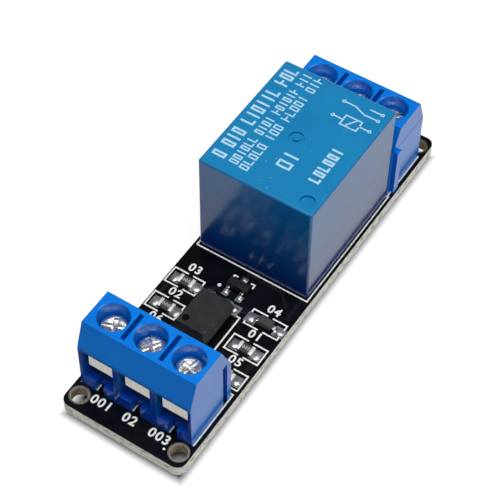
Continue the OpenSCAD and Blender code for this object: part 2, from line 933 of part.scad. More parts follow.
module solder_joints() {
  color("#c9cacc") {
    for (side = SIDES, position = POSITIONS)
      at_terminal(side, position)
        pin_joint([0, well_y, pin_w, pin_t], pin_hole_d / 2 + clamp_pad);
    at_relay()
      for (place = RELAY_PINS)
        pin_joint(place, relay_hole_d / 2 + relay_pad);
  }
}

// ---- Nodes ----

circuit_board();
for (side = SIDES) {
  terminal_housing(side);
  for (position = POSITIONS) {
    clamp(side, position);
    wire_guard(side, position);
    terminal_screw(side, position);
  }
}
relay_cover();
relay_base();
relay_bobbin();
relay_winding();
relay_core();
relay_yoke();
relay_armature();
relay_contact_blade();
relay_moving_contact();
relay_fixed_contacts();
relay_common_terminal();
relay_open_terminal();
relay_closed_terminal();
relay_coil_pins();
optocoupler_body();
optocoupler_leads();
transistor_body();
transistor_leads();
diode_body();
diode_leads();
for (number = [1, 2, 3])
  resistor(number);
resistor_end_caps();
for (number = [1, 2])
  lamp(number);
lamp_end_caps();
surface_solder();
solder_joints();
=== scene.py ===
"""The looks of the relay module board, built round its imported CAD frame.

Every piece is placed from the CAD nodes' own boxes. Lengths are in millimetres
until a mesh is made, and MM turns them into metres.
"""

import json
import logging
import math
import random
from dataclasses import dataclass
from enum import Enum
from typing import Sequence

import bpy
from mathutils import Euler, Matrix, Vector


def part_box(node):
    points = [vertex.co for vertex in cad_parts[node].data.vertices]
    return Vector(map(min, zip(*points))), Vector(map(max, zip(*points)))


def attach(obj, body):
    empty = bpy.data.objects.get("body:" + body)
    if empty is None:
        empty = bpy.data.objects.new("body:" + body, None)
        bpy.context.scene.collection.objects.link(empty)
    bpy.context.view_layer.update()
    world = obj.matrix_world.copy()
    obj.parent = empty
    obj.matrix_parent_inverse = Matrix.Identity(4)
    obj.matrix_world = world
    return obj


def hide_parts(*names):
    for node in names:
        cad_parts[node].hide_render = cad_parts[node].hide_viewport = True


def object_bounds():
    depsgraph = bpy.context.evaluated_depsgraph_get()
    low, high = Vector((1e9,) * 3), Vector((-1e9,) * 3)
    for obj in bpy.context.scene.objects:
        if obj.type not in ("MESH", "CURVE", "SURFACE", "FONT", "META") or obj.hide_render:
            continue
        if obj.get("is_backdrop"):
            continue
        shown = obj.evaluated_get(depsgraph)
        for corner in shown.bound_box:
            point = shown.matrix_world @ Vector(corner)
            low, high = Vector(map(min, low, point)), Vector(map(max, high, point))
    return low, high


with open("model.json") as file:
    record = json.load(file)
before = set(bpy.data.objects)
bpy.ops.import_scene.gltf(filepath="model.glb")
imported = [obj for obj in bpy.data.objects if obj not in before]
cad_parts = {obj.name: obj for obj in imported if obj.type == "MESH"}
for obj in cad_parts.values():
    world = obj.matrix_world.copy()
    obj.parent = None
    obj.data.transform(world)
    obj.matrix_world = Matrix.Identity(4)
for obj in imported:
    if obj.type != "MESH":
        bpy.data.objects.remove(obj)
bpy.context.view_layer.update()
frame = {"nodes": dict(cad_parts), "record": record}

MM = 0.001
Pair = tuple[float, float]
Triple = tuple[float, float, float]
Socket = bpy.types.NodeSocket
Thing = bpy.types.Object

LOG = logging.getLogger("relay_board")


class End(str, Enum):
    """The two ends of the board."""

    INPUT = "input"
    OUTPUT = "output"


POSITIONS = (1, 2, 3)
SIDES = (-1, 1)
# The CAD body that everything is fixed to
BOARD_BODY = "board_assembly"
# Thickness of the white ink, in millimetres
PRINT_T = 0.03
# A wave texture's scale for bands one metre apart
BAND_SCALE = 0.314
# Corners this near are one, faces that turn by less than this many degrees are
# one, and edges that turn by more than this many are rounded
MERGE_WITHIN, FLAT_WITHIN, ROUND_FROM = 0.0008, 1.5, 14
# How uneven a lump of solder is, as a share of its size
UNEVEN = 0.12
# Text size for figures one unit tall, their spacing, and how far ink spreads
FIGURE_SIZE, FIGURE_GAP, INK_SPREAD = 1.42, 1.15, 0.035


def linear(code: str) -> tuple[float, float, float, float]:
    """Turns a hex colour into the linear colour that a shader takes.

    Args:
        code: The colour as six hex digits.

    Returns:
        Linear red, green, blue and an alpha of 1.
    """
    parts = [int(code[i : i + 2], 16) / 255 for i in (0, 2, 4)]
    low = [c / 12.92 if c <= 0.04045 else ((c + 0.055) / 1.055) ** 2.4 for c in parts]
    return (low[0], low[1], low[2], 1.0)


class Nodes:
    """A node tree, with a short call for each kind of node."""

    def __init__(self, tree: bpy.types.NodeTree) -> None:
        """Empties a tree and starts it with object coordinates.

        Args:
            tree: The tree of a material or a world.
        """
        self.tree = tree
        tree.nodes.clear()
        self.place = self.add("TexCoord").outputs["Object"]

    def give(self, node: bpy.types.Node, key: str | int, value: object) -> None:
        """Links a socket to a node's input, or sets it to a constant or a hex colour.

        Args:
            node: The node.
            key: The input's name or number.
            value: A socket, a constant or a hex colour.
        """
        if isinstance(value, Socket):
            self.tree.links.new(value, node.inputs[key])
        else:
            node.inputs[key].default_value = linear(value) if isinstance(value, str) else value

    def add(
        self, kind: str, feeds: dict[str | int, object] | None = None, **settings: object
    ) -> bpy.types.Node:
        """Adds a node.

        Args:
            kind: Its type, without the ShaderNode before it.
            feeds: What goes into its inputs.
            settings: Its own settings.

        Returns:
            The node.
        """
        node = self.tree.nodes.new("ShaderNode" + kind)
        for key, value in settings.items():
            setattr(node, key, value)
        for key, value in (feeds or {}).items():
            self.give(node, key, value)
        return node

    def stretched(self, scale: Triple, turn: Triple = (0, 0, 0)) -> Socket:
        """Object coordinates, stretched along each axis and turned about it by degrees."""
        turns = [math.radians(a) for a in turn]
        return self.add("Mapping", {"Scale": scale, "Rotation": turns, "Vector": self.place}).outputs[0]

    def noise(self, size: float, detail: float = 3, where: Socket | None = None) -> Socket:
        """Soft noise round 0.5, its blotches a size in millimetres across."""
        feeds = {"Scale": 1 / (size * MM), "Detail": detail, "Vector": where or self.place}
        return self.add("TexNoise", feeds).outputs["Fac"]

    def cells(self, size: float) -> Socket:
        """Distance to the nearest of scattered points, in cells of a size in millimetres."""
        feeds = {"Scale": 1 / (size * MM), "Vector": self.place}
        return self.add("TexVoronoi", feeds).outputs["Distance"]

    def bands(self, pitch: float, axis: str, wander: float = 0) -> Socket:
        """Bands across an axis, from 0 to 1, at a pitch in millimetres."""
        feeds = {"Scale": BAND_SCALE / (pitch * MM), "Distortion": wander, "Vector": self.place}
        return self.add("TexWave", feeds, bands_direction=axis).outputs["Fac"]

    def ramp(self, factor: Socket, low: float, high: float, top: float = 1) -> Socket:
        """Spreads the part of a value between low and high over 0 to top."""
        feeds = {"From Min": low, "From Max": high, "To Max": top, "Value": factor}
        return self.add("MapRange", feeds).outputs["Result"]

    def sums(self, kind: str, a: Socket, b: Socket | float = 0) -> Socket:
        """One step of arithmetic, such as ADD or MULTIPLY."""
        return self.add("Math", {0: a, 1: b}, operation=kind).outputs[0]

    def blend(self, factor: Socket, a: Socket | str, b: Socket | str) -> Socket:
        """Mixes two colours: 0 gives the first, and 1 gives the second."""
        return self.add("Mix", {0: factor, 6: a, 7: b}, data_type="RGBA").outputs[2]

    def bump(self, height: Socket, depth: float, below: Socket | None = None) -> Socket:
        """Bump from a height.

        Args:
            height: The pattern.
            depth: Its depth in millimetres.
            below: Bump that this one lies on, if any.

        Returns:
            The normal.
        """
        feeds = {"Distance": depth * MM, "Height": height}
        if below is not None:
            feeds["Normal"] = below
        return self.add("Bump", feeds).outputs["Normal"]

    def leaning(self, degrees: float) -> Socket:
        """Bump that turns upright faces upward by degrees."""
        fall = self.sums("MULTIPLY", self.along("Z"), -1)
        return self.bump(fall, math.tan(math.radians(degrees)))

    def along(self, axis: str) -> Socket:
        """Place along an axis of the frame, in millimetres."""
        return self.sums("DIVIDE", self.add("SeparateXYZ", {0: self.place}).outputs[axis], MM)

    def facing(self, axis: str) -> Socket:
        """1 where the surface faces along an axis of the object, either way, and 0 elsewhere."""
        parts = self.add("SeparateXYZ", {0: self.add("NewGeometry").outputs["Normal"]})
        return self.sums("GREATER_THAN", self.sums("ABSOLUTE", parts.outputs[axis]), 0.8)


class Sheet(Nodes):
    """One material's nodes, round a principled shader."""

    def __init__(self, name: str) -> None:
        """Starts a material.

        Args:
            name: The material's name.
        """
        self.material = bpy.data.materials.new(name)
        self.material.use_nodes = True
        super().__init__(self.material.node_tree)
        self.shader = self.add("BsdfPrincipled")
        self.add("OutputMaterial", {"Surface": self.shader.outputs["BSDF"]})

    def set(self, **values: object) -> None:
        """Feeds the shader's inputs, with underscores for the spaces in their names."""
        for key, value in values.items():
            self.give(self.shader, key.replace("_", " "), value)


class Finish:
    """A recipe for one material."""

    def paint(self, sheet: Sheet) -> None:
        """Feeds the shader of a material's sheet."""
        raise NotImplementedError

    def make(self, name: str) -> bpy.types.Material:
        """Builds the material.

        Args:
            name: The material's name.

        Returns:
            The material.
        """
        sheet = Sheet(name)
        self.paint(sheet)
        return sheet.material


@dataclass(frozen=True)
class Plastic(Finish):
    """A moulded plastic: clouded colour, fine grain, scuffs and dust, with painted shade on upright faces
    and in hollows where it is asked for.
    """

    colour: str
    shade: str
    roughness: float = 0.35
    cloud: float = 4.0
    grain: float = 0.12
    grain_depth: float = 0.006
    dust: float = 0.0
    scuffs: float = 0.3
    specular: float = 0.5
    # Painted shade on upright faces: their colours above and at the foot, darker than the level top, and
    # the height up to which the foot's colour fades into the upper one
    side: str = ""
    painted_shade_low: str = ""
    painted_shade_top: float = 17.0
    # Painted shade deep in the openings: its colour, its upper edge, and how far out it begins
    hollow_shade: str = ""
    hollow_shade_top: float = 8.5
    hollow_shade_from: float = 23.4

    def paint(self, sheet: Sheet) -> None:
        """Paints the plastic.

        Args:
            sheet: The material's sheet.
        """
        cloud = sheet.ramp(sheet.noise(self.cloud, 4), 0.3, 0.7)
        colour = sheet.blend(cloud, self.colour, self.shade)
        # Painted shade: upright faces take a darker colour than level ones, darkest at the foot
        if self.side:
            rise = sheet.ramp(sheet.along("Z"), 0, self.painted_shade_top)
            side = sheet.blend(rise, self.painted_shade_low, self.side)
            colour = sheet.blend(sheet.facing("Z"), side, colour)
        # Painted shade: faces low down and deep in the openings, apart from end faces, take a darker
        # colour
        if self.hollow_shade:
            above = sheet.ramp(sheet.along("Z"), self.hollow_shade_top - 0.5, self.hollow_shade_top + 0.1)
            out = sheet.sums("ABSOLUTE", sheet.along("Y"))
            behind = sheet.ramp(out, self.hollow_shade_from + 0.3, self.hollow_shade_from - 0.3)
            lit = sheet.sums("MAXIMUM", above, sheet.facing("X"))
            colour = sheet.blend(sheet.sums("MAXIMUM", lit, behind), self.hollow_shade, colour)
        if self.dust:
            specks = sheet.ramp(sheet.cells(0.9), 0.085, 0.05)
            patches = sheet.ramp(sheet.noise(5, 2), 0.5, 0.66, self.dust)
            colour = sheet.blend(sheet.sums("MULTIPLY", specks, patches), colour, "e4e8ea")
        scuffs = sheet.noise(1.6, 6, sheet.stretched((1, 0.25, 1), (0, 0, 24)))
        rough = sheet.ramp(scuffs, 0.2, 0.8, self.scuffs)
        wave = sheet.bump(sheet.noise(3.0, 2), 0.03)
        sheet.set(
            Base_Color=colour,
            Roughness=sheet.sums("ADD", rough, self.roughness - self.scuffs / 2),
            Normal=sheet.bump(sheet.noise(self.grain, 3), self.grain_depth, wave),
            Specular_IOR_Level=self.specular,
        )


@dataclass(frozen=True)
class Metal(Finish):
    """A plated metal: brushed or cast skin, tarnish and small dents."""

    colour: str
    tarnish: str
    roughness: float = 0.28
    worn: float = 0.5
    brush: Triple = (1, 1, 1)
    skin: float = 0.08
    skin_depth: float = 0.004
    metallic: float = 1.0
    lean: float = 0.0

    def paint(self, sheet: Sheet) -> None:
        """Paints the metal.

        Args:
            sheet: The material's sheet.
        """
        stain = sheet.ramp(sheet.noise(0.9, 5), 0.42, 0.75, self.worn)
        lines = sheet.noise(self.skin, 4, sheet.stretched(self.brush))
        rough = sheet.ramp(lines, 0.2, 0.8, 0.22)
        below = sheet.leaning(self.lean) if self.lean else None
        sheet.set(
            Base_Color=sheet.blend(stain, self.colour, self.tarnish),
            Roughness=sheet.sums("ADD", rough, self.roughness - 0.11),
            Normal=sheet.bump(lines, self.skin_depth, below),
            Metallic=self.metallic,
        )


@dataclass(frozen=True)
class Laminate(Finish):
    """Glass-fibre board: glossy dark mask on its faces, bare layers on its edges, which glow a little as
    painted light.
    """

    mask: str = "050608"
    mask_light: str = "0a0c10"
    edge: str = "e8e5dc"
    edge_layer: str = "8f8a7d"
    edge_dark: str = "6e695e"
    edge_fray: str = "efede6"
    edge_lean: float = 20
    # Painted light: how strongly the cut edges glow, standing in for light on them
    edge_painted_glow: float = 0.12
    weave: float = 0.42
    thickness: float = 1.6
    layers: int = 7

    def paint(self, sheet: Sheet) -> None:
        """Paints the faces and the edges.

        Args:
            sheet: The material's sheet.
        """
        level = sheet.facing("Z")
        mask = sheet.blend(sheet.ramp(sheet.noise(6, 4), 0.3, 0.7), self.mask, self.mask_light)
        frayed = sheet.noise(0.5, 6, sheet.stretched((0.3, 0.3, 1.6)))
        layers = sheet.ramp(sheet.bands(self.thickness / self.layers, "Z", 1.5), 0.55, 1, 0.35)
        bruise = sheet.ramp(sheet.noise(0.55, 5, sheet.stretched((0.6, 0.6, 1))), 0.52, 0.66, 0.7)
        edge = sheet.blend(layers, self.edge, self.edge_layer)
        edge = sheet.blend(bruise, edge, self.edge_dark)
        edge = sheet.blend(sheet.ramp(frayed, 0.6, 0.75, 0.6), edge, self.edge_fray)
        matt = sheet.sums("ADD", sheet.ramp(frayed, 0.2, 0.8, 0.2), 0.6)
        gloss = sheet.sums("ADD", sheet.ramp(sheet.noise(2.5, 5), 0.2, 0.8, 0.14), 0.14)
        woven = sheet.sums("MULTIPLY", sheet.bands(self.weave, "X"), sheet.bands(self.weave, "Y"))
        base = sheet.bump(woven, 0.004, sheet.leaning(self.edge_lean))
        sheet.set(
            Base_Color=sheet.blend(level, edge, mask),
            # Painted light: the cut edges glow in their own colour, though they are no lamp
            Emission_Color=sheet.blend(level, edge, "000000"),
            Roughness=sheet.add("Mix", {0: level, 2: matt, 3: gloss}).outputs[0],
            Normal=sheet.bump(frayed, 0.012, base),
            Specular_IOR_Level=0.4,
            Emission_Strength=self.edge_painted_glow,
        )


@dataclass(frozen=True)
class Ink(Finish):
    """Screen-printed ink: a little uneven, with pinholes."""

    colour: str
    thin: str
    roughness: float = 0.55

    def paint(self, sheet: Sheet) -> None:
        """Paints the ink."""
        wear = sheet.ramp(sheet.noise(0.35, 5), 0.52, 0.72, 0.75)
        sheet.set(
            Base_Color=sheet.blend(wear, self.colour, self.thin),
            Roughness=sheet.ramp(sheet.noise(0.2, 3), 0, 1, self.roughness * 2),
            Normal=sheet.bump(sheet.noise(0.1, 3), 0.004),
        )


@dataclass(frozen=True)
class Winding(Finish):
    """Enamelled copper wire, wound in close turns round an upright bobbin."""

    wire: float = 0.14

    def paint(self, sheet: Sheet) -> None:
        """Paints the turns of wire."""
        # Painted shade and highlight: each turn runs from dark brown in the groove between turns to
        # bright copper on its crown
        turns = sheet.bands(self.wire, "Z", 0.4)
        sheet.set(
            Base_Color=sheet.blend(turns, "6d2a10", "c4632c"),
            Roughness=sheet.ramp(sheet.noise(0.6, 4), 0, 1, 0.6),
            Normal=sheet.bump(turns, 0.05),
            Metallic=0.8,
            Coat_Weight=0.4,
        )


@dataclass(frozen=True)
class LampResin(Finish):
    """The pale clouded resin of a lamp chip's lens."""

    colour: str = "e9e7d2"
    cloud: str = "c9c48e"

    def paint(self, sheet: Sheet) -> None:
        """Paints the resin."""
        cloud = sheet.ramp(sheet.noise(0.5, 4), 0.3, 0.7)
        sheet.set(
            Base_Color=sheet.blend(cloud, self.colour, self.cloud),
            Roughness=sheet.ramp(sheet.noise(0.15, 3), 0, 1, 0.4),
            Normal=sheet.bump(sheet.noise(0.2, 3), 0.01),
            Transmission_Weight=0.25,
            Subsurface_Weight=0.2,
        )


class Finishes:
    """Every finish on the board, each made once."""

    def __init__(self) -> None:
        """Makes the materials."""
        recipes = {
            "board": Laminate(),
            # The housing carries painted shade deep in its openings
            "housing": Plastic("0080ea", "0079de", 0.24, 5, 0.1, 0.003, 0.0, 0.1, 0.5, hollow_shade="0046b8"),
            # The cover's upright faces carry painted shade, darkest at the foot
            "cover": Plastic("1c88c0", "1a82ba", 0.18, 6, 0.08, 0.002, 0.8, 0.1, 0.5, "006cac", "001a72"),
            "base": Plastic("22262c", "15181c", 0.5),
            "bobbin": Plastic("e6e1d2", "d8d2bf", 0.45),
            "moulding": Plastic("27282a", "1c1c1e", 0.5, 1.2, 0.14, 0.02, 0.5, 0.2, 0.4),
            "dark_moulding": Plastic("151617", "0d0d0e", 0.45, 1, 0.08, 0.008, 0.0, 0.2, 0.4),
            "diode": Plastic("464648", "3a3a3c", 0.5, 1, 0.08, 0.01, 0.0, 0.2, 0.4),
            "chip": Plastic("4a4a4b", "333436", 0.4, 0.5, 0.06, 0.01, 0.0, 0.2),
            "relief": Plastic("101114", "14161a", 0.25, 5, 0.2, 0.002, 0.0, 0.14),
            "clamp": Metal("b9b2a0", "8d8573", 0.4, 0.6),
            "guard": Metal("f6f3ea", "dedad0", 0.3, 0.4, (1, 1, 0.2), 0.12, 0.002, 0.9, 38),
            "cap": Metal("f4f4f2", "d8d8d4", 0.5, 0.3, (1, 1, 1), 0.1, 0.004, 0.4),
            "lining": Metal("e0d0b8", "a08c76", 0.5, 0.9, (1, 1, 1), 0.4, 0.01, 0.5),
            "ring": Metal("8d8a84", "524e48", 0.4, 0.8, (1, 1, 1), 0.4, 0.01),
            "dot": Plastic("030303", "070707", 0.8, 4, 0.12, 0.006, 0.0, 0.2, 0.1),
            "figures": Ink("b4b5b3", "7c7d7c"),
            "screw": Metal("f4f4f4", "96989c", 0.3, 0.55, (1, 1, 1), 0.45, 0.05),
            "iron": Metal("a9abad", "7c7e80", 0.35, 0.5, (0.2, 1, 1)),
            "spring": Metal("c98f4a", "9c6a33", 0.3, 0.4, (1, 0.2, 1)),
            "silver": Metal("f0f0ee", "c8c4ba", 0.2, 0.3),
            "pin": Metal("c9c3b2", "9a927c", 0.35, 0.5, (1, 1, 0.25)),
            "lead": Metal("d9dadb", "a8a9ab", 0.25, 0.4, (1, 1, 0.4)),
            "solder": Metal("cdcfd1", "6a6c70", 0.34, 0.85, (1, 1, 1), 0.35, 0.03, 0.8),
            "pad": Metal("a6a8aa", "606266", 0.4, 0.8, (1, 1, 1), 0.35, 0.02),
            "print": Ink("f4f4f0", "b9bab8"),
            "relay_print": Ink("b4e0f6", "78b6d6", 0.45),
            "winding": Winding(),
            "lamp": LampResin(),
        }
        self.made = {name: recipe.make(name) for name, recipe in recipes.items()}

    def dress(self, thing: Thing, name: str) -> Thing:
        """Gives a piece one finish all over.

        Args:
            thing: The piece.
            name: The finish's name.

        Returns:
            The same piece.
        """
        slots = thing.data.materials
        slots.clear()
        slots.append(self.made[name])
        return thing

    def seat(self, piece: Thing, name: str, slot: str, body: str = BOARD_BODY) -> None:
        """Dresses a new piece and puts it on its body.

        Args:
            piece: The piece.
            name: The finish's name.
            slot: The record's material that it is made of; not used.
            body: The CAD body that it rides on.
        """
        self.dress(piece, name)
        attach(piece, body)


def clear() -> None:
    """Leaves object mode and deselects everything."""
    if bpy.context.object and bpy.context.object.mode != "OBJECT":
        bpy.ops.object.mode_set(mode="OBJECT")
    bpy.ops.object.select_all(action="DESELECT")


def pick(thing: Thing) -> Thing:
    """Makes a piece the only selected and active one."""
    clear()
    thing.select_set(True)
    bpy.context.view_layer.objects.active = thing
    return thing


def edit(thing: Thing) -> None:
    """Opens a piece for editing, with all of it selected."""
    pick(thing)
    bpy.ops.object.mode_set(mode="EDIT")
    bpy.ops.mesh.select_all(action="SELECT")


def settle(thing: Thing, name: str | None = None) -> Thing:
    """Puts a piece's place in its mesh, with its object at the origin."""
    pick(thing)
    bpy.ops.object.transform_apply(location=True, rotation=True, scale=True)
    if name:
        thing.name = name
        thing.data.name = name
    return thing


def slab(centre: Triple, size: Triple, turn: float = 0, bevel: float = 0) -> Thing:
    """A flat bar with softened edges.

    Args:
        centre: Its middle in millimetres.
        size: Its size in millimetres.
        turn: Its turn about Z in degrees.
        bevel: How far its edges are rounded, in millimetres.

    Returns:
        The bar, settled.
    """
    clear()
    bpy.ops.mesh.primitive_cube_add(
        size=1, location=[c * MM for c in centre], rotation=(0, 0, math.radians(turn))
    )
    bar = bpy.context.object
    bar.scale = [s * MM for s in size]
    settle(bar)
    if bevel:
        edit(bar)
        bpy.ops.mesh.bevel(offset=bevel * MM, segments=2, affect="EDGES")
        bpy.ops.object.mode_set(mode="OBJECT")
    return bar


def disc(centre: Triple, radius: float, height: float, hole: float = 0, sides: int = 40) -> Thing:
    """A round plate, or a ring if it has a hole.

    Args:
        centre: Middle of its underside in millimetres.
        radius: Its outer radius.
        height: Its thickness.
        hole: Radius of its hole, or 0.
        sides: Its corners.

    Returns:
        The plate, settled.
    """
    clear()
    bpy.ops.mesh.primitive_circle_add(
        vertices=sides, radius=radius * MM, fill_type="NGON", location=[c * MM for c in centre]
    )
    plate = settle(bpy.context.object)
    edit(plate)
    if hole:
        bpy.ops.mesh.inset(thickness=(radius - hole) * MM)
        bpy.ops.mesh.delete(type="FACE")
        bpy.ops.mesh.select_all(action="SELECT")
    bpy.ops.mesh.extrude_region_move(TRANSFORM_OT_translate={"value": (0, 0, height * MM)})
    bpy.ops.mesh.select_all(action="SELECT")
    bpy.ops.mesh.normals_make_consistent(inside=False)
    bpy.ops.object.mode_set(mode="OBJECT")
    return plate


def blob(centre: Triple, size: Triple, seed: int) -> Thing:
    """A low lump of solder, flat underneath.

    Args:
        centre: Middle of its underside in millimetres.
        size: Length, width and height.
        seed: Which random lumps it gets.

    Returns:
        The lump, settled.
    """
    clear()
    bpy.ops.mesh.primitive_uv_sphere_add(segments=20, ring_count=12, radius=0.5)
    lump = bpy.context.object
    lump.scale = (size[0] * MM, size[1] * MM, 2 * size[2] * MM)
    settle(lump)
    edit(lump)
    bpy.ops.mesh.bisect(plane_co=(0, 0, 0), plane_no=(0, 0, 1), use_fill=True, clear_inner=True)
    bpy.ops.object.mode_set(mode="OBJECT")
    draw = random.Random(seed)
    waves = [(draw.uniform(1, 3), draw.uniform(0, math.tau)) for _ in range(3)]
    for vertex in lump.data.vertices:
        turn = math.atan2(vertex.co.y, vertex.co.x)
        swell = 1 + UNEVEN * sum(math.sin(round(k) * turn + p) for k, p in waves) / 2
        vertex.co.x *= swell
        vertex.co.y *= swell
    lump.location = [c * MM for c in centre]
    settle(lump)
    smooth(lump, 50)
    return lump


def label(words: str, centre: Pair, height: float, base: float, turn: float = 0) -> Thing:
    """Plain printed figures, lying on a level face.

    Args:
        words: The figures.
        centre: Middle in millimetres.
        height: Height of a figure.
        base: Height of the face that they lie on.
        turn: Their turn about Z in degrees.

    Returns:
        The figures as a mesh, settled.
    """
    clear()
    bpy.ops.object.text_add()
    text = bpy.context.object
    font = text.data
    font.body = words
    font.align_x = font.align_y = "CENTER"
    font.size = height * FIGURE_SIZE * MM
    font.space_character = FIGURE_GAP
    font.offset = INK_SPREAD * height * MM
    font.extrude = PRINT_T / 2 * MM
    font.resolution_u = 3
    bpy.ops.object.convert(target="MESH")
    text = bpy.context.object
    text.location = (centre[0] * MM, centre[1] * MM, (base + PRINT_T / 2) * MM)
    text.rotation_euler = (0, 0, math.radians(turn))
    return settle(text)


def merge(things: Sequence[Thing], name: str) -> Thing:
    """Joins several meshes into one piece.

    Args:
        things: The meshes.
        name: The new piece's name.

    Returns:
        The joined piece.
    """
    clear()
    for thing in things:
        thing.select_set(True)
    bpy.context.view_layer.objects.active = things[0]
    bpy.ops.object.join()
    return settle(bpy.context.object, name)


def smooth(thing: Thing, angle: float) -> Thing:
    """Shades a piece smooth apart from edges sharper than an angle."""
    pick(thing)
    bpy.ops.object.shade_smooth_by_angle(angle=math.radians(angle))
    return thing


def softened(node: str, name: str, width: float, segments: int = 2) -> Thing:
    """Copies a CAD node, merges it and rounds its sharp edges.

    Args:
        node: The CAD node.
        name: The new piece's name.
        width: How far the edges are rounded, in millimetres.
        segments: Steps in the rounding.

    Returns:
        The new piece, which stands for the node.
    """
    source = frame["nodes"][node]
    piece = bpy.data.objects.new(name, source.data.copy())
    bpy.context.scene.collection.objects.link(piece)
    edit(piece)
    bpy.ops.mesh.remove_doubles(threshold=MERGE_WITHIN * MM)
    bpy.ops.mesh.dissolve_limited(angle_limit=math.radians(FLAT_WITHIN))
    bpy.ops.object.mode_set(mode="OBJECT")
    rounding = piece.modifiers.new("rounding", "BEVEL")
    rounding.width = width * MM
    rounding.segments = segments
    rounding.limit_method = "ANGLE"
    rounding.angle_limit = math.radians(ROUND_FROM)
    bpy.ops.object.modifier_apply(modifier=rounding.name)
    smooth(piece, 40)
    flats = piece.modifiers.new("flat_faces_stay_flat", "WEIGHTED_NORMAL")
    flats.keep_sharp = True
    bpy.ops.object.modifier_apply(modifier=flats.name)
    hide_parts(node)
    return piece


def box(node: str) -> tuple[Vector, Vector]:
    """A CAD node's lowest and highest corners, in millimetres."""
    low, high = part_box(node)
    return low / MM, high / MM


def middle(node: str) -> Vector:
    """The middle of a CAD node's box, in millimetres."""
    low, high = box(node)
    return (low + high) / 2


class Printer:
    """Lays flat printed marks on a level face."""

    def __init__(self, base: float, width: float = 0.2, thick: float = PRINT_T) -> None:
        """Starts a sheet of marks.

        Args:
            base: Height of the face that is printed on, in millimetres.
            width: Width of a line.
            thick: Thickness of the ink.
        """
        self.base = base
        self.width = width
        self.thick = thick
        self.marks: list[Thing] = []

    def bar(self, centre: Pair, size: Pair, turn: float = 0) -> None:
        """Lays one filled bar, a hair thicker or thinner than the one before it."""
        thick = self.thick * (1 + 0.06 * (len(self.marks) % 5))
        where = (centre[0], centre[1], self.base + thick / 2)
        self.marks.append(slab(where, (size[0], size[1], thick), turn))

    def line(self, a: Pair, b: Pair) -> None:
        """Lays a line from one point to another."""
        run = math.dist(a, b)
        turn = math.degrees(math.atan2(b[1] - a[1], b[0] - a[0]))
        self.bar(((a[0] + b[0]) / 2, (a[1] + b[1]) / 2), (run + self.width, self.width), turn)

    def path(self, *points: Pair) -> None:
        """Lays lines from point to point."""
        for a, b in zip(points, points[1:]):
            self.line(a, b)

    def frame(self, centre: Pair, half: Pair, gap: Pair) -> None:
        """Lays a box whose long sides are open over a gap.

        Args:
            centre: The box's middle.
            half: Half its length and half its width.
            gap: From where to where its long sides are open, from the middle.
        """
        x, y = centre
        a, b = half
        self.path((x + gap[0], y + b), (x - a, y + b), (x - a, y - b), (x + gap[0], y - b))
        self.path((x + gap[1], y + b), (x + a, y + b), (x + a, y - b), (x + gap[1], y - b))

    def dot(self, centre: Pair, radius: float, hole: float = 0) -> None:
        """Lays a round dot, or a ring if it has a hole."""
        where = (centre[0], centre[1], self.base)
        self.marks.append(disc(where, radius, self.thick, hole, 20))

    def words(self, text: str, centre: Pair, height: float, turn: float = 0) -> None:
        """Lays plain figures."""
        self.marks.append(label(text, centre, height, self.base, turn))

    def done(self, name: str) -> Thing:
        """Joins the marks into one piece."""
        return merge(self.marks, name)


